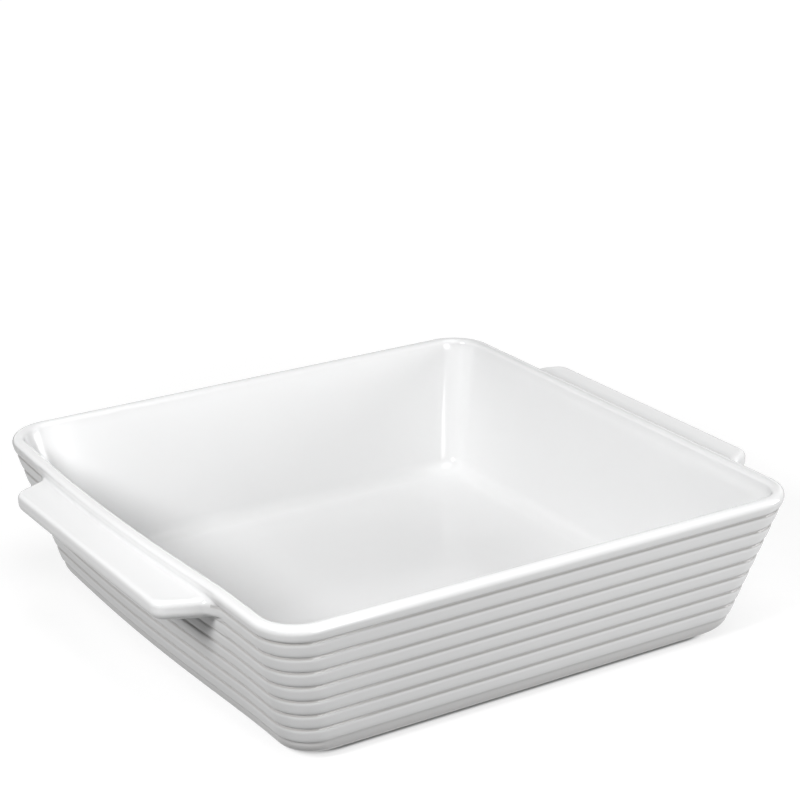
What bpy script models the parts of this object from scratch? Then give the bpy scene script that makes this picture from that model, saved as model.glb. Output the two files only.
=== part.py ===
"""Square porcelain gratin dish with ribbed, tapered sides and two tab handles.

Units are metres and +Z is up. The origin is in the middle of the footprint, on the surface that the dish
stands on.
X runs from handle to handle, and the front side faces -Y.
"""
import math

import bmesh
import bpy

# Overall size of the dish, without its handles
RIM_SIDE = 0.260
DISH_HEIGHT = 0.0697
RIM_CORNER_RADIUS = 0.0204
CORNER_TAPER_ANGLE = math.radians(3.9)
DRAFT_ANGLE = math.radians(15.7)

# Rolled rim
RIM_THICKNESS = 0.0058
RIM_BAND_HEIGHT = 0.0075
RIM_OVERHANG = 0.0024

# Ribs that run round the outside
RIB_PITCH = 0.00751
RIB_DEPTH = 0.0009
UNDERCURVE_LEAST_HEIGHT = 0.0075

# Walls, floor and foot
WALL_THICKNESS = 0.0050
FLOOR_THICKNESS = 0.0045
FLOOR_FILLET = 0.0090
FLOOR_CORNER_EASE = 0.5
FOOT_HEIGHT = 0.0015
FOOT_WIDTH = 0.0050
FOOT_INSET = 0.0085
FOOT_EDGE_RADIUS = 0.0005

# Tab handles
HANDLE_DROP = 0.0057
HANDLE_THICKNESS = 0.0078
HANDLE_REACH = 0.0193
HANDLE_ROOT_LENGTH = 0.1488
HANDLE_END_LENGTH = 0.1350
HANDLE_CORNER_RADIUS = 0.0070
HANDLE_TOP_EDGE = 0.0018
HANDLE_LOWER_EDGE = 0.0035

# Bosses on the dish that the handles are luted to
BOSS_REACH = 0.0034
BOSS_TOP_FILLET = 0.0016
BOSS_END_FILLET = 0.0060
BOSS_LOWER_FILLET = 0.0012
LUTING_GAP = 0.0003

# No corner is tighter than the glaze leaves it
LEAST_CORNER_RADIUS = 0.0010

# How finely the curves are cut
CORNER_STEPS = 7
RIM_STEPS = 8
BAND_STEPS = 5
UNDERCURVE_STEPS = 6
FILLET_STEPS = 6
BOSS_STEPS = 18
EDGE_STEPS = 4
RIB_STATIONS = (0.0, 0.07, 0.2, 0.38, 0.62, 0.8, 0.93)
RIB_SQUARENESS = 3.4
SHARP_ANGLE = math.radians(40)

# Colours of the fired glaze
GLAZE_COLOUR = (0.86, 0.86, 0.85, 1.0)
GLAZE_ROUGHNESS = 0.12

# Heights and half sizes that several features share
RIM_HALF = RIM_SIDE / 2
CREST_RADIUS = RIM_THICKNESS / 2
CREST_HALF = RIM_HALF - CREST_RADIUS
CREST_CENTRE_Z = DISH_HEIGHT - CREST_RADIUS
FIRST_GROOVE_Z = DISH_HEIGHT - RIM_BAND_HEIGHT
FIRST_GROOVE_HALF = RIM_HALF - RIM_OVERHANG
FIRST_GROOVE_RADIUS = RIM_CORNER_RADIUS - RIM_OVERHANG
FLOOR_Z = FOOT_HEIGHT + FLOOR_THICKNESS
RIB_COUNT = int((FIRST_GROOVE_Z - FOOT_HEIGHT - UNDERCURVE_LEAST_HEIGHT) / RIB_PITCH)
LAST_GROOVE_Z = FIRST_GROOVE_Z - RIB_COUNT * RIB_PITCH
HANDLE_TOP_Z = DISH_HEIGHT - HANDLE_DROP
HANDLE_LOWER_Z = HANDLE_TOP_Z - HANDLE_THICKNESS
HANDLE_END_X = RIM_HALF + HANDLE_REACH
SECOND_GROOVE_Z = FIRST_GROOVE_Z - RIB_PITCH
BOSS_FACE_X = RIM_HALF + BOSS_REACH


def clear_scene():
    """Removes whatever the scene holds."""
    for thing in list(bpy.data.objects):
        bpy.data.objects.remove(thing, do_unlink=True)


def glaze_material(name):
    """White transparent-glazed porcelain."""
    material = bpy.data.materials.new(name)
    material.use_nodes = True
    shader = material.node_tree.nodes["Principled BSDF"]
    shader.inputs["Base Color"].default_value = GLAZE_COLOUR
    shader.inputs["Roughness"].default_value = GLAZE_ROUGHNESS
    shader.inputs["Metallic"].default_value = 0.0
    material.diffuse_color = GLAZE_COLOUR
    return material


def link_mesh(name, mesh_data, material):
    """Makes a named, smooth-shaded object of a bmesh."""
    mesh = bpy.data.meshes.new(name)
    mesh_data.to_mesh(mesh)
    mesh_data.free()
    mesh.shade_smooth()
    mesh.set_sharp_from_angle(angle=SHARP_ANGLE)
    mesh.materials.append(material)
    thing = bpy.data.objects.new(name, mesh)
    bpy.context.scene.collection.objects.link(thing)
    return thing


def wall_half(z):
    """Half side of the square through the groove bottoms, at one height."""
    return FIRST_GROOVE_HALF - (FIRST_GROOVE_Z - z) * math.tan(DRAFT_ANGLE)


def wall_radius(z):
    """Corner radius of that square. The corners tighten slowly towards the foot."""
    return FIRST_GROOVE_RADIUS - (FIRST_GROOVE_Z - z) * math.tan(CORNER_TAPER_ANGLE)


def quarter_angles(steps):
    """Angles from 0 to a quarter turn."""
    return [math.pi / 2 * step / steps for step in range(steps + 1)]


FOOT_HALF = wall_half(LAST_GROOVE_Z) - FOOT_INSET
FOOT_RADIUS = wall_radius(LAST_GROOVE_Z)


def foot_profile():
    """Foot ring, from the underside of the floor round to the start of the undercurve."""
    outer = FOOT_HALF
    inner = outer - FOOT_WIDTH
    ring = [
        (inner, FOOT_HEIGHT),
        (inner, FOOT_EDGE_RADIUS),
        (inner + FOOT_EDGE_RADIUS, 0.0),
        (outer - FOOT_EDGE_RADIUS, 0.0),
        (outer, FOOT_EDGE_RADIUS),
    ]
    return [(half, z, FOOT_RADIUS - (outer - half)) for half, z in ring]


def undercurve_profile():
    """Quarter ellipse that carries the wall down and in to the foot."""
    drop = LAST_GROOVE_Z - FOOT_HEIGHT
    points = []
    for angle in quarter_angles(UNDERCURVE_STEPS)[:-1]:
        outward = math.sin(angle)
        z = FOOT_HEIGHT + drop * (1 - math.cos(angle))
        radius = FOOT_RADIUS + (wall_radius(z) - FOOT_RADIUS) * outward
        points.append((FOOT_HALF + FOOT_INSET * outward, z, radius))
    return points


def rib_profile():
    """Ribs from the last groove up to the first. Each is flat-topped with soft shoulders into a V groove."""
    points = []
    for rib in range(RIB_COUNT):
        for station in RIB_STATIONS:
            z = LAST_GROOVE_Z + (rib + station) * RIB_PITCH
            relief = RIB_DEPTH * (1 - abs(2 * station - 1) ** RIB_SQUARENESS)
            points.append((wall_half(z) + relief, z, wall_radius(z) + relief))
    return points


def rim_profile():
    """Rim band above the first groove, then the half-round crest, to its inner side."""
    points = []
    band_rise = CREST_CENTRE_Z - FIRST_GROOVE_Z
    for step in range(BAND_STEPS):
        rise = step / BAND_STEPS
        bulge = RIM_OVERHANG * (1 - (1 - rise) ** 2)
        z = FIRST_GROOVE_Z + rise * band_rise
        points.append((FIRST_GROOVE_HALF + bulge, z, FIRST_GROOVE_RADIUS + bulge))
    for step in range(RIM_STEPS + 1):
        angle = math.pi * step / RIM_STEPS
        half = CREST_HALF + CREST_RADIUS * math.cos(angle)
        z = CREST_CENTRE_Z + CREST_RADIUS * math.sin(angle)
        points.append((half, z, RIM_CORNER_RADIUS - (RIM_HALF - half)))
    return points


def inner_profile():
    """Inner wall, parallel to the outer one, and the fillet into the floor."""
    lip_z = CREST_CENTRE_Z - CREST_RADIUS
    fillet_z = FLOOR_Z + FLOOR_FILLET
    fillet_half = wall_half(fillet_z) - WALL_THICKNESS - FLOOR_FILLET / math.cos(DRAFT_ANGLE)
    points = [(wall_half(lip_z) - WALL_THICKNESS, lip_z, wall_radius(lip_z) - WALL_THICKNESS)]
    for step in range(FILLET_STEPS + 1):
        angle = (math.pi / 2 - DRAFT_ANGLE) * (1 - step / FILLET_STEPS)
        half = fillet_half + FLOOR_FILLET * math.sin(angle)
        z = fillet_z - FLOOR_FILLET * math.cos(angle)
        from_wall = wall_half(fillet_z) - WALL_THICKNESS - half
        radius = wall_radius(fillet_z) - WALL_THICKNESS - from_wall * FLOOR_CORNER_EASE
        points.append((half, z, radius))
    return points


def square_loop(mesh_data, half, z, radius):
    """Vertices of a square with rounded corners, anticlockwise from the +X side."""
    radius = max(radius, LEAST_CORNER_RADIUS)
    corner = half - radius
    loop = []
    for turn, (side_x, side_y) in enumerate(((1, 1), (-1, 1), (-1, -1), (1, -1))):
        for step in range(CORNER_STEPS + 1):
            angle = math.pi / 2 * (turn + step / CORNER_STEPS)
            x = side_x * corner + radius * math.cos(angle)
            y = side_y * corner + radius * math.sin(angle)
            loop.append(mesh_data.verts.new((x, y, z)))
    return loop


def skin_loops(mesh_data, loops):
    """Quads between neighbouring loops, and a flat face on the first and on the last."""
    for lower, upper in zip(loops, loops[1:]):
        count = len(lower)
        for index in range(count):
            following = (index + 1) % count
            mesh_data.faces.new((lower[index], lower[following], upper[following], upper[index]))
    mesh_data.faces.new(list(reversed(loops[0])))
    mesh_data.faces.new(loops[-1])


def make_dish_shell(material):
    """Ribbed dish with its foot ring, lofted along one profile that runs from underside over rim to floor."""
    profile = foot_profile() + undercurve_profile() + rib_profile() + rim_profile() + inner_profile()
    mesh_data = bmesh.new()
    loops = [square_loop(mesh_data, half, z, radius) for half, z, radius in profile]
    skin_loops(mesh_data, loops)
    bmesh.ops.recalc_face_normals(mesh_data, faces=mesh_data.faces)
    return link_mesh("dish_body", mesh_data, material)


def underside_fall(x):
    """How far the underside has fallen at x, on its slope from the outer edge to the wall's second groove."""
    whole_fall = max(HANDLE_LOWER_Z - SECOND_GROOVE_Z, 0.0)
    return whole_fall * (HANDLE_END_X - x) / (HANDLE_END_X - wall_half(SECOND_GROOVE_Z))


def handle_levels():
    """Heights through the handle's outer edge, from the lower rounding to the upper one.

    Each comes with how far the edge is drawn in there, and whether it belongs to the underside.
    """
    both_edges = HANDLE_LOWER_EDGE + HANDLE_TOP_EDGE
    limit = min(1.0, (HANDLE_THICKNESS - LUTING_GAP) / both_edges)
    lower_edge = HANDLE_LOWER_EDGE * limit
    top_edge = HANDLE_TOP_EDGE * limit
    levels = []
    for angle in quarter_angles(EDGE_STEPS):
        z = HANDLE_LOWER_Z + lower_edge * (1 - math.cos(angle))
        levels.append((z, lower_edge * (1 - math.sin(angle)), True))
    for angle in quarter_angles(EDGE_STEPS):
        z = HANDLE_TOP_Z - top_edge * (1 - math.sin(angle))
        levels.append((z, top_edge * (1 - math.cos(angle)), False))
    return levels


def handle_slant():
    """Angle by which the handle's ends lean in towards its outer edge."""
    return math.atan2((HANDLE_ROOT_LENGTH - HANDLE_END_LENGTH) / 2, HANDLE_END_X - BOSS_FACE_X)


def root_half_length(x, drawn_in):
    """Half length of the tab at one distance from the middle, with its edge drawn in."""
    narrowing = (x - BOSS_FACE_X) * math.tan(handle_slant())
    return HANDLE_ROOT_LENGTH / 2 - narrowing - drawn_in / math.cos(handle_slant())


def handle_outline(drawn_in):
    """Plan of the right handle: square root, slanted ends and rounded outer corners."""
    root_x = BOSS_FACE_X + LUTING_GAP
    slant = handle_slant()
    radius = max(HANDLE_CORNER_RADIUS - drawn_in, LEAST_CORNER_RADIUS)
    centre_x = HANDLE_END_X - HANDLE_CORNER_RADIUS
    centre_y = root_half_length(centre_x, drawn_in) - radius / math.cos(slant)
    side = [(root_x, root_half_length(root_x, drawn_in))]
    for step in range(CORNER_STEPS + 1):
        angle = (math.pi / 2 - slant) * (1 - step / CORNER_STEPS)
        side.append((centre_x + radius * math.cos(angle), centre_y + radius * math.sin(angle)))
    return side + [(x, -y) for x, y in reversed(side)]


def make_handle(name, side, material):
    """Tab handle with a level top and rounded edges, lofted from its underside up."""
    mesh_data = bmesh.new()
    loops = []
    for z, drawn_in, is_under in handle_levels():
        loop = []
        for x, y in handle_outline(drawn_in):
            fall = underside_fall(x) if is_under else 0.0
            loop.append(mesh_data.verts.new((side * x, y, z - fall)))
        loops.append(loop)
    skin_loops(mesh_data, loops)
    bmesh.ops.recalc_face_normals(mesh_data, faces=mesh_data.faces)
    return link_mesh(name, mesh_data, material)


def fillet_rise(radius, wall_x, x):
    """How far a fillet has climbed at x, when it ends against a wall at wall_x."""
    reach = min(max(wall_x + radius - x, 0.0), radius)
    return radius - math.sqrt(radius ** 2 - reach ** 2)


def buried_x(z):
    """Middle of the wall or of the rim, where the boss ends inside the dish."""
    if z > FIRST_GROOVE_Z:
        return CREST_HALF
    return wall_half(z) - WALL_THICKNESS / 2


def boss_loop(share):
    """Outline of the boss at one share of the way from its flat face into the wall, flared by its fillets."""
    groove_x = wall_half(SECOND_GROOVE_Z) + RIB_DEPTH / 2
    side = []
    for z, drawn_in, is_under in handle_levels():
        x = BOSS_FACE_X + share * (buried_x(z) - BOSS_FACE_X)
        if is_under:
            flared_z = z - underside_fall(x) - fillet_rise(BOSS_LOWER_FILLET, groove_x, x)
        else:
            flared_z = z + fillet_rise(BOSS_TOP_FILLET, RIM_HALF, x)
        end_flare = fillet_rise(BOSS_END_FILLET, wall_half(flared_z), x)
        side.append((x, root_half_length(BOSS_FACE_X, drawn_in) + end_flare, flared_z))
    return side + [(x, -y, z) for x, y, z in reversed(side)]


def make_boss(side, material):
    """Raised seat on the rim band that the handle is luted to."""
    mesh_data = bmesh.new()
    loops = []
    for step in range(BOSS_STEPS + 1):
        loops.append([mesh_data.verts.new((side * x, y, z)) for x, y, z in boss_loop(step / BOSS_STEPS)])
    skin_loops(mesh_data, loops)
    bmesh.ops.recalc_face_normals(mesh_data, faces=mesh_data.faces)
    return link_mesh("boss_guide", mesh_data, material)


def join_by_union(body, addition):
    """Fuses one closed solid into another and removes the added object."""
    union = body.modifiers.new("union", "BOOLEAN")
    union.operation = "UNION"
    union.solver = "EXACT"
    union.object = addition
    bpy.context.view_layer.update()
    fused = bpy.data.meshes.new_from_object(body.evaluated_get(bpy.context.evaluated_depsgraph_get()))
    body.modifiers.clear()
    body.data = fused
    bpy.data.objects.remove(addition, do_unlink=True)


def main():
    clear_scene()
    body_glaze = glaze_material("body_glaze")
    handle_glaze = glaze_material("handle_glaze")
    dish = make_dish_shell(body_glaze)
    for side in (-1, 1):
        join_by_union(dish, make_boss(side, body_glaze))
    make_handle("handle_left", -1, handle_glaze)
    make_handle("handle_right", 1, handle_glaze)


main()
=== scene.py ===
"""Looks of the square gratin dish.

One slip-cast porcelain body with two tab handles stuck on, under a clear white glaze.
"""
import math

import bpy
import numpy as np
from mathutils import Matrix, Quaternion, Vector


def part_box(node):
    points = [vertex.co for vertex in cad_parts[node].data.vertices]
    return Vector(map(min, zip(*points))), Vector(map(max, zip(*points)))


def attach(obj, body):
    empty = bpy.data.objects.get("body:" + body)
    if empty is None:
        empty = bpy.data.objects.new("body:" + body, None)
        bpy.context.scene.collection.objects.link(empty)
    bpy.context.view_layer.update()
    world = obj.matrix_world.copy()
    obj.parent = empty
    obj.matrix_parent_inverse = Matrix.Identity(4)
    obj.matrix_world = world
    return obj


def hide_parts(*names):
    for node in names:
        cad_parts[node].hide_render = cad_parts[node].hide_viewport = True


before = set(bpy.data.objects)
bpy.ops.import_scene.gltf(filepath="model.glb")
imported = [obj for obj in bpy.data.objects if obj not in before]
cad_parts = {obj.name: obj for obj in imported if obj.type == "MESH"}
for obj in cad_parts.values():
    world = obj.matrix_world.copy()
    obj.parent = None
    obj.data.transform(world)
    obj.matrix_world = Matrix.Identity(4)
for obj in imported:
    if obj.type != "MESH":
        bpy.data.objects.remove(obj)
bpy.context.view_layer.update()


# The cast body, from the foot ring over the ribs and the rolled rim to the floor inside.
# Porcelain slip is poured into a plaster mould, which leaves a wall of even thickness, soft ribs
# outside and a smooth face inside. The rows below follow one profile, and each is a rounded square.
body_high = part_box("dish_body")[1]
rim_half = body_high.y
dish_height = body_high.z
rim_corner_radius = 0.0204
rim_thickness = 0.0058
rim_overhang = 0.0024
band_height = 0.0075
draft = math.tan(math.radians(15.7))
lean = math.atan(draft)
corner_taper = math.tan(math.radians(3.9))

rib_pitch = 0.00751
rib_count = 7
rib_depth = 0.0009
rib_squareness = 4.8

wall_thickness = 0.0050
floor_height = 0.0060
floor_fillet = 0.0090
foot_height = 0.0015
foot_width = 0.0050
foot_inset = 0.0085
foot_edge = 0.0006
foot_corner_ease = 0.0022

crest_radius = rim_thickness / 2
crest_half = rim_half - crest_radius
crest_height = dish_height - crest_radius
first_groove = dish_height - band_height
second_groove = first_groove - rib_pitch
last_groove = first_groove - rib_count * rib_pitch
first_groove_half = rim_half - rim_overhang
first_groove_radius = rim_corner_radius - rim_overhang

# How closely the rows lie on each stretch of the profile
underside_shares = (0.08, 0.3, 0.55, 0.8, 0.93, 0.985)
ring_inside_rows = 4
ring_edge_rows = 5
undercurve_rows = 14
rows_per_rib = 20
band_rows_to_handle = 6
band_rows_to_crest = 8
crest_rows = 20
inner_wall_rows = 13
floor_fillet_rows = 13
floor_shares = (0.97, 0.9, 0.75, 0.55, 0.3, 0.08)

quarter_turn = math.pi / 2
profile = []


def wall_half(height):
    """Half width of the dish through its groove bottoms."""
    return first_groove_half - (first_groove - height) * draft


def wall_corner(height):
    """Corner radius there. The corners tighten slowly towards the foot."""
    return first_groove_radius - (first_groove - height) * corner_taper


def add_row(half, height, radius):
    """One more rounded square on the way along the profile."""
    profile.append((half, height, radius))


# The underside and the foot ring
foot_half = wall_half(last_groove) - foot_inset
foot_corner = wall_corner(last_groove) + foot_corner_ease
foot_inner = foot_half - foot_width
for share in underside_shares:
    add_row(foot_inner * share, foot_height, (foot_corner - foot_width) * share)
for angle in np.linspace(0, quarter_turn, ring_inside_rows):
    half = foot_inner - foot_edge * (1 - math.sin(angle))
    add_row(half, foot_height - foot_edge * (1 - math.cos(angle)), foot_corner - (foot_half - half))
for angle in np.linspace(0, quarter_turn, ring_edge_rows):
    half = foot_inner + foot_edge * (1 - math.cos(angle))
    add_row(half, foot_edge * (1 - math.sin(angle)), foot_corner - (foot_half - half))
for angle in np.linspace(0, quarter_turn, ring_edge_rows):
    half = foot_half - foot_edge * (1 - math.sin(angle))
    add_row(half, foot_edge * (1 - math.cos(angle)), foot_corner - (foot_half - half))

# The curve under the body, from the foot ring out to the last groove
undercurve_starts = len(profile)
undercurve_rise = last_groove - foot_height
for angle in np.linspace(0, quarter_turn, undercurve_rows, endpoint=False):
    height = foot_height + undercurve_rise * (1 - math.cos(angle))
    radius = foot_corner + (wall_corner(height) - foot_corner) * math.sin(angle)
    add_row(foot_half + foot_inset * math.sin(angle), height, radius)

# The seven ribs
wall_starts = len(profile)
for row in range(rib_count * rows_per_rib):
    height = last_groove + row * rib_pitch / rows_per_rib
    across = row % rows_per_rib / rows_per_rib
    relief = rib_depth * (1 - abs(2 * across - 1) ** rib_squareness)
    add_row(wall_half(height) + relief, height, wall_corner(height) + relief)

# The plain band under the rim. One of its rows lies at the height of the handles' top.
grip_low, grip_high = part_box("handle_right")
handle_top = grip_high.z
band_starts = len(profile)
band_ends = crest_height - crest_radius * math.sin(lean)
band_relief = crest_half + crest_radius * math.cos(lean) - wall_half(band_ends)
band_heights = list(np.linspace(first_groove, handle_top, band_rows_to_handle, endpoint=False))
band_heights += list(np.linspace(handle_top, band_ends, band_rows_to_crest, endpoint=False))
for height in band_heights:
    across = (height - first_groove) / rib_pitch
    half = wall_half(height) + band_relief * (1 - max(1 - 2 * across, 0) ** rib_squareness)
    add_row(half, height, first_groove_radius + half - first_groove_half)

# The rolled rim
crest_starts = len(profile)
for angle in np.linspace(-lean, math.pi, crest_rows):
    half = crest_half + crest_radius * math.cos(angle)
    add_row(half, crest_height + crest_radius * math.sin(angle), rim_corner_radius - (rim_half - half))

# The inner wall, the fillet at its foot and the floor
lip = crest_height - crest_radius
fillet_top = floor_height + floor_fillet
fillet_half = wall_half(fillet_top) - wall_thickness - floor_fillet / math.cos(lean)
for height in np.linspace(lip, fillet_top, inner_wall_rows, endpoint=False):
    add_row(wall_half(height) - wall_thickness, height, wall_corner(height) - wall_thickness)
for angle in np.linspace(quarter_turn - lean, 0, floor_fillet_rows):
    half = fillet_half + floor_fillet * math.sin(angle)
    from_wall = wall_half(fillet_top) - wall_thickness - half
    radius = wall_corner(fillet_top) - wall_thickness - from_wall / 2
    add_row(half, fillet_top - floor_fillet * math.cos(angle), radius)
floor_corner = radius
for share in floor_shares:
    add_row(fillet_half * share, floor_height, floor_corner * share)

# Columns of points round the dish. On the two sides with handles one column on either hand is kept
# for the line where the handle's end meets the wall, with more columns close to it.
grip_half = grip_high.y
grip_out = grip_low.x
handle_end = grip_high.x
end_half = 0.0675
slant = math.atan2(grip_half - end_half, handle_end - grip_out)
undercurve_rows_kept = 6
crest_rows_kept = 10
outer_rows = np.array(profile[wall_starts - undercurve_rows_kept:crest_starts + crest_rows_kept])

corner_steps = 16
plain_columns = 37
# Each stretch of columns, as shares of the way: from, to, steps
behind_handle = ((0.0, 0.72, 14), (0.72, 0.92, 12), (0.92, 1.0, 9))
beyond_handle = ((1.0, 1.22, 14), (1.22, 2.0, 9))


def root_half(height):
    """Half length of the handle where its slanted ends run into the wall, at this height."""
    wall_out = np.interp(height, outer_rows[:, 1], outer_rows[:, 0])
    return grip_half + (grip_out - wall_out) * math.tan(slant)


def spread(stretches):
    """Shares at the end of each even step of each stretch."""
    shares = []
    for start, end, steps in stretches:
        shares += [start + (end - start) * step / steps for step in range(1, steps + 1)]
    return shares


right_shares = [0.0] + spread(behind_handle)
root_column = len(right_shares) - 1
right_shares += spread(beyond_handle)
middle_column = len(right_shares) - 1
handle_shares = [-share for share in right_shares[:0:-1]] + right_shares

columns = []
handle_columns = {}
for turn in range(4):
    angle = turn * quarter_turn
    has_handle = turn % 2 == 0
    shares = handle_shares if has_handle else np.linspace(-1, 1, plain_columns)
    if has_handle:
        side = 1 if turn == 0 else -1
        handle_columns[side] = slice(len(columns), len(columns) + len(shares))
    for share in shares:
        columns.append((turn, share, math.cos(angle), math.sin(angle)))
    for step in range(1, corner_steps):
        bend = angle + quarter_turn * step / corner_steps
        columns.append((turn, None, math.cos(bend), math.sin(bend)))


def rounded_square(half, height, radius):
    """Points of one row. Shares up to 1 lie behind a handle, and those up to 2 beyond its ends."""
    straight = half - radius
    on_wall = min(max(height, second_groove), handle_top)
    root = straight * root_half(on_wall) / (wall_half(on_wall) - wall_corner(on_wall))
    points = []
    for turn, share, across, up in columns:
        if share is None:
            corner_x = (1, -1, -1, 1)[turn]
            corner_y = (1, 1, -1, -1)[turn]
            points.append((corner_x * straight + across * radius, corner_y * straight + up * radius, height))
            continue
        if turn % 2 == 0:
            beyond = max(abs(share) - 1, 0)
            along = math.copysign(min(abs(share), 1) * root + beyond * (straight - root), share)
        else:
            along = share * straight
        points.append((across * half - up * along, up * half + across * along, height))
    return points


clay = np.array([rounded_square(*row) for row in profile])


# The two tab handles. Each is a flat slab of the same porcelain, pressed in its own mould and stuck to
# the wall with slip before firing. The wet joint is wiped to a fillet, so body and handle are one skin.
# The slab grows out of a window in the wall's rows, and then all settles on the rounded surface.
handle_under = grip_low.z
under_rise = (handle_under - second_groove) / (handle_end - wall_half(second_groove))
handle_corner = 0.0070
top_edge = 0.0030
lower_edge = 0.0042

top_fillet = 0.0016
end_fillet = 0.0060
lower_fillet = 0.0012
under_ease = 0.004
end_fillet_starts = 0.0690
end_fillet_opening = 0.0090
end_fillet_low = second_groove + 0.0003
end_fillet_low_ease = 0.003
end_fillet_high = 0.0655
end_fillet_high_ease = 0.004
groove_starts = 0.0770
groove_opening = 0.0055
wiping = 0.0022

settle_step = 1e-5
wall_rounds = 12
handle_rounds = 25
least_slope = 0.05


def eased(share):
    """Soft step from 0 to 1."""
    share = np.clip(share, 0, 1)
    return share * share * (3 - 2 * share)


near_rows = np.exp(-((outer_rows[:, 1][:, None] - outer_rows[:, 1]) / wiping) ** 2)
near_rows *= np.abs(np.gradient(outer_rows[:, 1]))
wiped_rows = (near_rows * outer_rows[:, 0]).sum(axis=1) / near_rows.sum(axis=1)


def wall_gap(out, along, height):
    """Distance from the wall, positive outside. Its grooves run out softly where they meet a handle."""
    open_groove = eased((along - groove_starts) / groove_opening)
    half = np.interp(height, outer_rows[:, 1], outer_rows[:, 0]) * open_groove
    half += np.interp(height, outer_rows[:, 1], wiped_rows) * (1 - open_groove)
    return (out - half) * math.cos(lean)


def handle_gap(out, along, height):
    """Distance from the slab, positive outside: slanted ends, round corners and two unlike edges."""
    past_end = out - handle_end
    past_side = (along - grip_half + (out - grip_out) * math.tan(slant)) * math.cos(slant)
    centre_out = handle_end - handle_corner
    centre_along = grip_half - (centre_out - grip_out) * math.tan(slant) - handle_corner / math.cos(slant)
    from_out = out - centre_out
    from_along = along - centre_along
    on_corner = (from_along > 0) & (from_along * math.sin(slant) < from_out * math.cos(slant))
    outline = np.where(on_corner, np.hypot(from_out, from_along) - handle_corner,
                       np.maximum(past_end, past_side))
    under = handle_under - (handle_end - out) * under_rise
    middle = (handle_top + under + lower_edge - top_edge) / 2
    edge = np.where(height > middle, top_edge, lower_edge)
    above = np.where(height > middle, height - handle_top, under - height) + edge
    beside = outline + edge
    inside = np.minimum(np.maximum(above, beside), 0)
    return np.hypot(np.maximum(above, 0), np.maximum(beside, 0)) + inside - edge


def joined_gap(points):
    """Distance from wall and handle with the fillet wiped between them."""
    out, along, height = points
    along = np.abs(along)
    wall = wall_gap(out, along, height)
    slab = handle_gap(out, along, height)
    at_end = eased((along - end_fillet_starts) / end_fillet_opening)
    at_end = at_end * eased((height - end_fillet_low) / end_fillet_low_ease)
    at_end = at_end * eased((end_fillet_high - height) / end_fillet_high_ease)
    plain = lower_fillet + (top_fillet - lower_fillet) * eased((height - handle_under) / under_ease)
    fillet = plain + (end_fillet - plain) * at_end
    corner = np.hypot(np.maximum(fillet - wall, 0), np.maximum(fillet - slab, 0))
    return np.maximum(fillet, np.minimum(wall, slab)) - corner


def settle(points, rounds):
    """Moves points straight onto the joined surface."""
    for _ in range(rounds):
        slope = []
        for axis in range(3):
            nudge = np.zeros((3,) + (1,) * (points.ndim - 1))
            nudge[axis] = settle_step
            slope.append((joined_gap(points + nudge) - joined_gap(points - nudge)) / (2 * settle_step))
        slope = np.array(slope)
        points = points - joined_gap(points) * slope / np.maximum((slope ** 2).sum(axis=0), least_slope)
    return points


def border(block):
    """The border of a block of the grid, as one closed loop."""
    sides = (block[..., 0, :-1], block[..., :-1, -1], block[..., -1, :0:-1], block[..., :0:-1, 0])
    return np.concatenate(sides, axis=-1)


# The window that each handle grows from, one rib high and on up the band to the handle's top
window_low = band_starts - rows_per_rib
window_high = band_starts + band_rows_to_handle
window_rows = slice(window_low, window_high + 1)
crest_rows_settled = 4
settled_rows = slice(window_low - rows_per_rib, crest_starts + crest_rows_settled)
ring_count = 26
row_count, column_count = clay.shape[:2]
numbers = np.arange(row_count * column_count).reshape(row_count, column_count)
ring_points = []
faces = []
window_faces = set()

for side, run in handle_columns.items():
    turned = np.array((side, side, 1))[:, None, None]
    near = run.start + middle_column - root_column
    far = run.start + middle_column + root_column
    wall = clay[window_rows, near:far + 1].transpose(2, 0, 1) * turned
    tip = np.empty_like(wall)
    tip[0] = handle_end
    tip[1] = wall[1] / wall[1].max(axis=1, keepdims=True) * end_half
    rise = (wall[2] - second_groove) / (handle_top - second_groove)
    tip[2] = handle_under + rise * (handle_top - handle_under)

    around = clay[settled_rows, run].transpose(2, 0, 1) * turned
    clay[settled_rows, run] = (settle(around, wall_rounds) * turned).transpose(1, 2, 0)
    end_face = (settle(tip, handle_rounds) * turned).transpose(1, 2, 0)
    clay[window_low + 1:window_high, near + 1:far] = end_face[1:-1, 1:-1]

    # Rings from the window out to the handle's end
    loop = border(numbers[window_rows, near:far + 1])
    for ring in range(1, ring_count + 1):
        out_share = (1 - math.cos(math.pi * ring / ring_count)) / 2
        points = border(wall) + (border(tip) - border(wall)) * out_share
        points = (settle(points[:, None], handle_rounds) * turned)[:, 0].T
        next_loop = numbers.size + len(ring_points) + np.arange(len(points))
        ring_points += list(points)
        for step in range(len(loop)):
            following = (step + 1) % len(loop)
            faces.append((loop[step], loop[following], next_loop[following], next_loop[step]))
        loop = next_loop

    # The end face closes the last ring
    cap = numbers[window_rows, near:far + 1].copy()
    width = far - near
    height_steps = window_high - window_low
    cap[0, :-1] = loop[:width]
    cap[:-1, -1] = loop[width:width + height_steps]
    cap[-1, :0:-1] = loop[width + height_steps:2 * width + height_steps]
    cap[:0:-1, 0] = loop[2 * width + height_steps:]
    for row in range(height_steps):
        for column in range(width):
            window_faces.add((window_low + row, near + column))
            faces.append((cap[row, column], cap[row, column + 1],
                          cap[row + 1, column + 1], cap[row + 1, column]))

# The rest of the skin, round the windows
for row in range(row_count - 1):
    for column in range(column_count):
        if (row, column) not in window_faces:
            following = (column + 1) % column_count
            faces.append((numbers[row, column], numbers[row, following],
                          numbers[row + 1, following], numbers[row + 1, column]))
faces.append(tuple(numbers[0, ::-1]))
faces.append(tuple(numbers[-1]))
skin = np.concatenate((clay.reshape(-1, 3), np.array(ring_points)))


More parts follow.
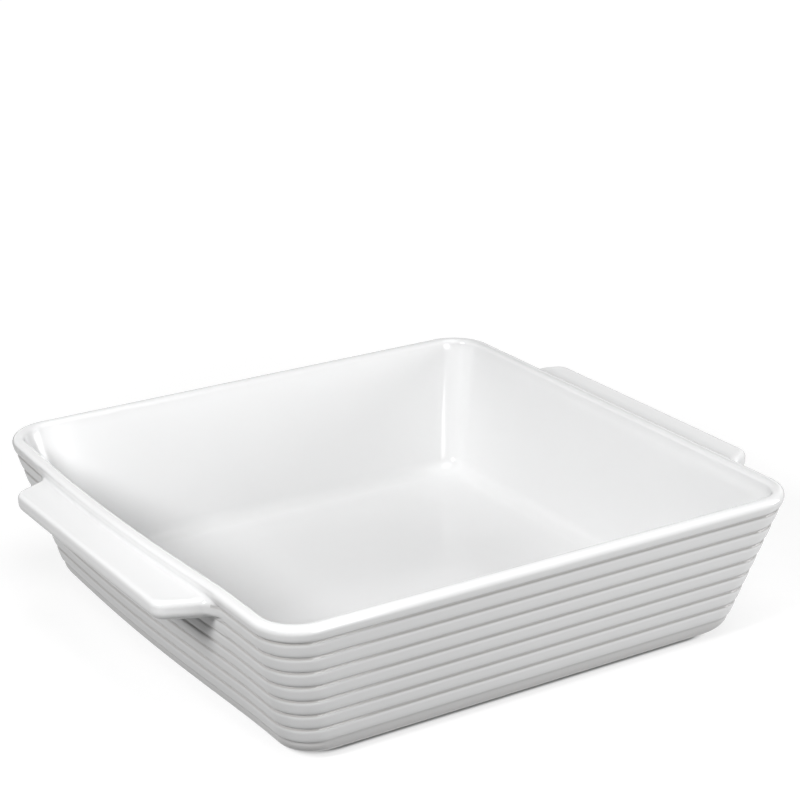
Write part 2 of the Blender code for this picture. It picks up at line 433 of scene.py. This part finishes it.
# The dish as it came out of the kiln: porcelain softens there, and moves a little under its own weight.
# Its left side has bowed outward, most of all at the rim and a little behind its middle, while the
# handle's outer edge and the foot have stayed. Then the right handle's own small differences.
bow_low = 0.0030
bow_high = 0.0038
bow_middle = 0.022
bow_half_length = 0.105
bow_fade_low = 1.5
bow_fade_high = 1.2
bow_starts = -0.070
bow_full = -0.100
bow_rise = 0.004

# These three are the skin's own numbers, so a change to them moves its points
out, along, height = skin.T
height_share = height / dish_height
from_middle = np.clip(1 - ((along - bow_middle) / bow_half_length) ** 2, 0, 1)
bow = bow_low + (bow_high - bow_low) * height_share
bow *= from_middle ** (bow_fade_low + (bow_fade_high - bow_fade_low) * height_share)
bow *= eased((height - foot_height) / bow_rise) * eased((bow_starts - out) / (bow_starts - bow_full))
out -= bow * np.clip((handle_end + out) / (handle_end - rim_half), 0, 1)

# The right handle sits a little higher than the left one, and its ends reach a little further
lift = 0.0015
lift_starts = 0.131
lift_full = 0.141
longer_near = 0.0040
longer_far = 0.0017
slide_starts = 0.035
slide_full = 0.065
slide_fades = 0.077
slide_ends = 0.105
right_side_starts = 0.100
slide = eased((np.abs(along) - slide_starts) / (slide_full - slide_starts))
slide *= eased((slide_ends - np.abs(along)) / (slide_ends - slide_fades))
slide *= np.where(along < 0, -longer_near, longer_far)
height += lift * eased((out - lift_starts) / (lift_full - lift_starts))
along += slide * (out > right_side_starts)

# How deep in a groove or under the body each point lies, for the painted shade in the glaze's colour
shade_drop = 0.0004
shade_width = 0.26
shade_falloff = 1.2
rows_over_first_groove = 3
undercurve_shade = 0.42
# Painted shade: a share of grey for each point, greatest at the groove bottoms
painted_shade_depth = np.zeros(len(skin))
on_ribs = np.zeros(numbers.shape, dtype=bool)
on_ribs[wall_starts:band_starts + rows_over_first_groove] = True
groove_share = (height[:numbers.size] + shade_drop - last_groove) / rib_pitch
from_groove = np.abs(groove_share - np.round(groove_share)) * 2
in_groove = np.clip(1 - from_groove / shade_width, 0, 1) ** shade_falloff
painted_shade_depth[:numbers.size] = np.where(on_ribs.ravel(), in_groove, 0)
# Painted shade under the body: the whole undercurve takes a fixed share of the grey
painted_shade_depth[numbers[undercurve_starts:wall_starts]] = undercurve_shade
for window in window_faces:
    painted_shade_depth[numbers[window]] = 0

mesh = bpy.data.meshes.new("gratin_dish")
mesh.from_pydata([tuple(point) for point in skin], [], [tuple(int(i) for i in face) for face in faces])
mesh.shade_smooth()
mesh.validate()
mesh.attributes.new("painted_shade", "FLOAT", "POINT").data.foreach_set("value", painted_shade_depth)
gratin_dish = bpy.data.objects.new("gratin_dish", mesh)
bpy.context.scene.collection.objects.link(gratin_dish)


# The glaze: a clear, glossy coat of glass over white porcelain, dipped on and fired. Its colour holds
# painted shade in the grooves and under the body, a darker grey there, and the glaze is never quite level.
# The foot ring is wiped clean of it before firing, so it comes out matt, with painted contact shade making
# it a thin dark line.
glaze_white = (0.832, 0.834, 0.836, 1)
# Painted shade grey for the grooves and under the body
painted_shade_grey = (0.42, 0.405, 0.395, 1)
# Painted shade: the bare foot ring's colour is dark grey, for the contact shadow under the foot
bare_foot_painted_shade = (0.34, 0.33, 0.32, 1)
glaze_ior = 1.5
glaze_roughness = 0.12
clay_roughness = 0.85
bare_shaded_below = 0.0011
glazed_above = 0.0014
drift_scale = 14
drift_detail = 2
drift_low = 0.985
noise_low = 0.3
noise_high = 0.7
wave_scale = 55
wave_detail = 1
wave_height = 0.00008


def stretched(tree, value, low, high, to_low=0.0, to_high=1.0):
    """Map Range node, from low and high to to_low and to_high."""
    node = tree.nodes.new("ShaderNodeMapRange")
    node.inputs["From Min"].default_value = low
    node.inputs["From Max"].default_value = high
    node.inputs["To Min"].default_value = to_low
    node.inputs["To Max"].default_value = to_high
    tree.links.new(value, node.inputs["Value"])
    return node


def noise(tree, place, scale, detail):
    """Noise fixed to the object's own coordinates."""
    node = tree.nodes.new("ShaderNodeTexNoise")
    node.inputs["Scale"].default_value = scale
    node.inputs["Detail"].default_value = detail
    tree.links.new(place.outputs["Object"], node.inputs["Vector"])
    return node.outputs["Fac"]


glaze = bpy.data.materials.new("white_glaze")
glaze.use_nodes = True
glaze_tree = glaze.node_tree
glaze_links = glaze_tree.links
porcelain = glaze_tree.nodes["Principled BSDF"]
porcelain.inputs["IOR"].default_value = glaze_ior
dish_place = glaze_tree.nodes.new("ShaderNodeTexCoord")

# Painted shade: this attribute mixes grey into the white in the grooves and under the body
painted_shade = glaze_tree.nodes.new("ShaderNodeAttribute")
painted_shade.attribute_name = "painted_shade"
shaded_white = glaze_tree.nodes.new("ShaderNodeMix")
shaded_white.data_type = "RGBA"
shaded_white.inputs["A"].default_value = glaze_white
shaded_white.inputs["B"].default_value = painted_shade_grey
glaze_links.new(painted_shade.outputs["Fac"], shaded_white.inputs["Factor"])

drift = noise(glaze_tree, dish_place, drift_scale, drift_detail)
drift_tone = stretched(glaze_tree, drift, noise_low, noise_high, to_low=drift_low)
drifted = glaze_tree.nodes.new("ShaderNodeMix")
drifted.data_type = "RGBA"
drifted.blend_type = "MULTIPLY"
drifted.inputs["Factor"].default_value = 1
glaze_links.new(shaded_white.outputs["Result"], drifted.inputs["A"])
glaze_links.new(drift_tone.outputs["Result"], drifted.inputs["B"])

dish_axes = glaze_tree.nodes.new("ShaderNodeSeparateXYZ")
glaze_links.new(dish_place.outputs["Object"], dish_axes.inputs["Vector"])
# Painted shade: below this edge the foot ring turns dark grey as well as matt; the matt roughness is real
bare_and_shaded = stretched(glaze_tree, dish_axes.outputs["Z"], glazed_above, bare_shaded_below)
surface = glaze_tree.nodes.new("ShaderNodeMix")
surface.data_type = "RGBA"
surface.inputs["B"].default_value = bare_foot_painted_shade
glaze_links.new(bare_and_shaded.outputs["Result"], surface.inputs["Factor"])
glaze_links.new(drifted.outputs["Result"], surface.inputs["A"])
glaze_links.new(surface.outputs["Result"], porcelain.inputs["Base Color"])
roughness = stretched(glaze_tree, bare_and_shaded.outputs["Result"], 0, 1, glaze_roughness, clay_roughness)
glaze_links.new(roughness.outputs["Result"], porcelain.inputs["Roughness"])

waves = glaze_tree.nodes.new("ShaderNodeBump")
waves.inputs["Strength"].default_value = 1
waves.inputs["Distance"].default_value = wave_height
glaze_links.new(noise(glaze_tree, dish_place, wave_scale, wave_detail), waves.inputs["Height"])
glaze_links.new(waves.outputs["Normal"], porcelain.inputs["Normal"])
mesh.materials.append(glaze)

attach(gratin_dish, "root")
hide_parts("dish_body", "handle_left", "handle_right")


# The sheet of white paper that the dish stands on. The camera sees it white, with the dish's own soft
# shadow and a thin dark line of painted contact shade under the foot. The glaze mirrors it dimmer and
# only close by, and little light comes back up from it.
paper_reach = 4
paper_height = -0.0002
contact_reach = 0.0022
contact_samples = 8
contact_dark = 0.4
contact_clear = 0.9
near_reach = 0.2
far_reach = 0.8
seen_near = 0.75
seen_far = 1.0
seen_grey = (0.35, 0.35, 0.35, 1)
mirrored_reach = 0.25
mirrored_end = 0.45
mirrored_near = 0.7
mirrored_far = 0.1
unseen_grey = (0.1, 0.1, 0.1, 1)


def worked_out(tree, operation, first, second):
    """Math node on two values."""
    node = tree.nodes.new("ShaderNodeMath")
    node.operation = operation
    tree.links.new(first, node.inputs[0])
    tree.links.new(second, node.inputs[1])
    return node.outputs["Value"]


def seen_directly(tree, ray):
    """1 where the camera sees it straight on, or through glass."""
    return worked_out(tree, "MAXIMUM", ray.outputs["Is Camera Ray"], ray.outputs["Is Transmission Ray"])


def lit_paper(tree, colour, glow):
    """Matt paper of this colour with a glow of its own."""
    matt = tree.nodes.new("ShaderNodeBsdfDiffuse")
    matt.inputs["Color"].default_value = colour
    light = tree.nodes.new("ShaderNodeEmission")
    tree.links.new(glow, light.inputs["Strength"])
    both = tree.nodes.new("ShaderNodeAddShader")
    tree.links.new(light.outputs["Emission"], both.inputs[0])
    tree.links.new(matt.outputs["BSDF"], both.inputs[1])
    return both.outputs["Shader"]


floor_mesh = bpy.data.meshes.new("floor")
floor_corners = [(-paper_reach, -paper_reach, paper_height), (paper_reach, -paper_reach, paper_height),
                 (paper_reach, paper_reach, paper_height), (-paper_reach, paper_reach, paper_height)]
floor_mesh.from_pydata(floor_corners, [], [(0, 1, 2, 3)])
floor = bpy.data.objects.new("floor", floor_mesh)
bpy.context.scene.collection.objects.link(floor)

paper = bpy.data.materials.new("paper")
paper.use_nodes = True
paper_tree = paper.node_tree
paper_links = paper_tree.links
paper_tree.nodes.remove(paper_tree.nodes["Principled BSDF"])
paper_place = paper_tree.nodes.new("ShaderNodeTexCoord")
from_dish = paper_tree.nodes.new("ShaderNodeVectorMath")
from_dish.operation = "LENGTH"
paper_links.new(paper_place.outputs["Object"], from_dish.inputs[0])

seen_glow = stretched(paper_tree, from_dish.outputs["Value"], near_reach, far_reach, seen_near, seen_far)
seen_glow.interpolation_type = "SMOOTHSTEP"
# Painted contact shade: ambient occlusion dims the paper's glow close to the foot
contact = paper_tree.nodes.new("ShaderNodeAmbientOcclusion")
contact.samples = contact_samples
contact.inputs["Distance"].default_value = contact_reach
painted_contact_shade = stretched(paper_tree, contact.outputs["AO"], contact_dark, contact_clear)
paper_glow = worked_out(paper_tree, "MULTIPLY", seen_glow.outputs["Result"], painted_contact_shade.outputs["Result"])
seen_paper = lit_paper(paper_tree, seen_grey, paper_glow)

mirrored_glow = stretched(paper_tree, from_dish.outputs["Value"], mirrored_reach, mirrored_end,
                          mirrored_near, mirrored_far)
mirrored_glow.interpolation_type = "SMOOTHSTEP"
mirrored_paper = lit_paper(paper_tree, unseen_grey, mirrored_glow.outputs["Result"])
unseen_paper = paper_tree.nodes.new("ShaderNodeBsdfDiffuse")
unseen_paper.inputs["Color"].default_value = unseen_grey

paper_ray = paper_tree.nodes.new("ShaderNodeLightPath")
not_seen = paper_tree.nodes.new("ShaderNodeMixShader")
paper_links.new(paper_ray.outputs["Is Glossy Ray"], not_seen.inputs["Fac"])
paper_links.new(unseen_paper.outputs["BSDF"], not_seen.inputs[1])
paper_links.new(mirrored_paper, not_seen.inputs[2])
sheet = paper_tree.nodes.new("ShaderNodeMixShader")
paper_links.new(seen_directly(paper_tree, paper_ray), sheet.inputs["Fac"])
paper_links.new(not_seen.outputs["Shader"], sheet.inputs[1])
paper_links.new(seen_paper, sheet.inputs[2])
paper_links.new(sheet.outputs["Shader"], paper_tree.nodes["Material Output"].inputs["Surface"])
floor_mesh.materials.append(paper)


# The studio round it: a plain white backdrop, which the camera sees at full strength. The glaze
# mirrors it brightest low down behind the dish, dimmer overhead and hardly at all in front, as
# where a lit screen stands behind the table. It sheds no light of its own on the dish.
screen_top = 0.4
screen_fades_by = 0.6
screen_glow = 1.4
ceiling_glow = 0.5
front_glow = 0.12
screen_full_at = 0.4

world = bpy.data.worlds.new("studio")
bpy.context.scene.world = world
world.use_nodes = True
studio_tree = world.node_tree
studio_ray = studio_tree.nodes.new("ShaderNodeLightPath")
studio_place = studio_tree.nodes.new("ShaderNodeTexCoord")
way = studio_tree.nodes.new("ShaderNodeSeparateXYZ")
studio_tree.links.new(studio_place.outputs["Generated"], way.inputs["Vector"])
by_height = stretched(studio_tree, way.outputs["Z"], screen_top, screen_fades_by, screen_glow, ceiling_glow)
from_front = stretched(studio_tree, way.outputs["Y"], 0, screen_full_at, to_low=front_glow)
screen = worked_out(studio_tree, "MULTIPLY", by_height.outputs["Result"], from_front.outputs["Result"])
mirrored = worked_out(studio_tree, "MULTIPLY", studio_ray.outputs["Is Glossy Ray"], screen)
backdrop = worked_out(studio_tree, "MAXIMUM", seen_directly(studio_tree, studio_ray), mirrored)
background = studio_tree.nodes["Background"]
background.inputs["Color"].default_value = (1, 1, 1, 1)
studio_tree.links.new(backdrop, background.inputs["Strength"])


# The lamps: a small soft box close by on the left, which throws the handle's shadow, a large one
# low on the right, a low one in front and a broad soft one overhead.
def from_dish_to(azimuth, elevation):
    """Direction from the dish, with azimuths counted from the front towards the right."""
    return Vector((math.sin(azimuth) * math.cos(elevation),
                   -math.cos(azimuth) * math.cos(elevation),
                   math.sin(elevation)))


def soft_lamp(name, azimuth, elevation, distance, size, power):
    """A square soft box aimed at the dish, with its angles in degrees."""
    data = bpy.data.lights.new(name, "AREA")
    data.size = size
    data.energy = power
    lamp = bpy.data.objects.new(name, data)
    way_out = from_dish_to(math.radians(azimuth), math.radians(elevation))
    lamp.location = way_out * distance
    lamp.rotation_mode = "QUATERNION"
    lamp.rotation_quaternion = way_out.to_track_quat("Z", "Y")
    lamp.visible_camera = False
    bpy.context.scene.collection.objects.link(lamp)


soft_lamp("left_box", azimuth=-70, elevation=36, distance=1.1, size=0.23, power=8.2)
soft_lamp("right_box", azimuth=60, elevation=6, distance=1.2, size=0.6, power=8.6)
soft_lamp("front_box", azimuth=5, elevation=8, distance=0.7, size=0.3, power=2.0)
soft_lamp("top_box", azimuth=10, elevation=75, distance=1.5, size=1.0, power=10.5)


# The camera, where the photograph was taken from: above the dish's near left corner, with a long lens
camera_azimuth = -0.56536
camera_elevation = 0.35127
camera_roll = -0.004
camera_distance = 1.26897
camera_target = Vector((0.14761, 0.22134, 0))
camera_lens = 100.56
camera_sensor = 36
camera_clip = 0.05
camera_data = bpy.data.cameras.new("camera")
camera_data.lens = camera_lens
camera_data.sensor_width = camera_sensor
camera_data.clip_start = camera_clip
camera = bpy.data.objects.new("camera", camera_data)
camera_back = from_dish_to(camera_azimuth, camera_elevation)
camera.location = camera_target + camera_back * camera_distance
camera.rotation_mode = "QUATERNION"
camera.rotation_quaternion = (-camera_back).to_track_quat("-Z", "Y") @ Quaternion((0, 0, 1), camera_roll)
bpy.context.scene.collection.objects.link(camera)
bpy.context.scene.camera = camera
bpy.context.scene.view_settings.view_transform = "Standard"
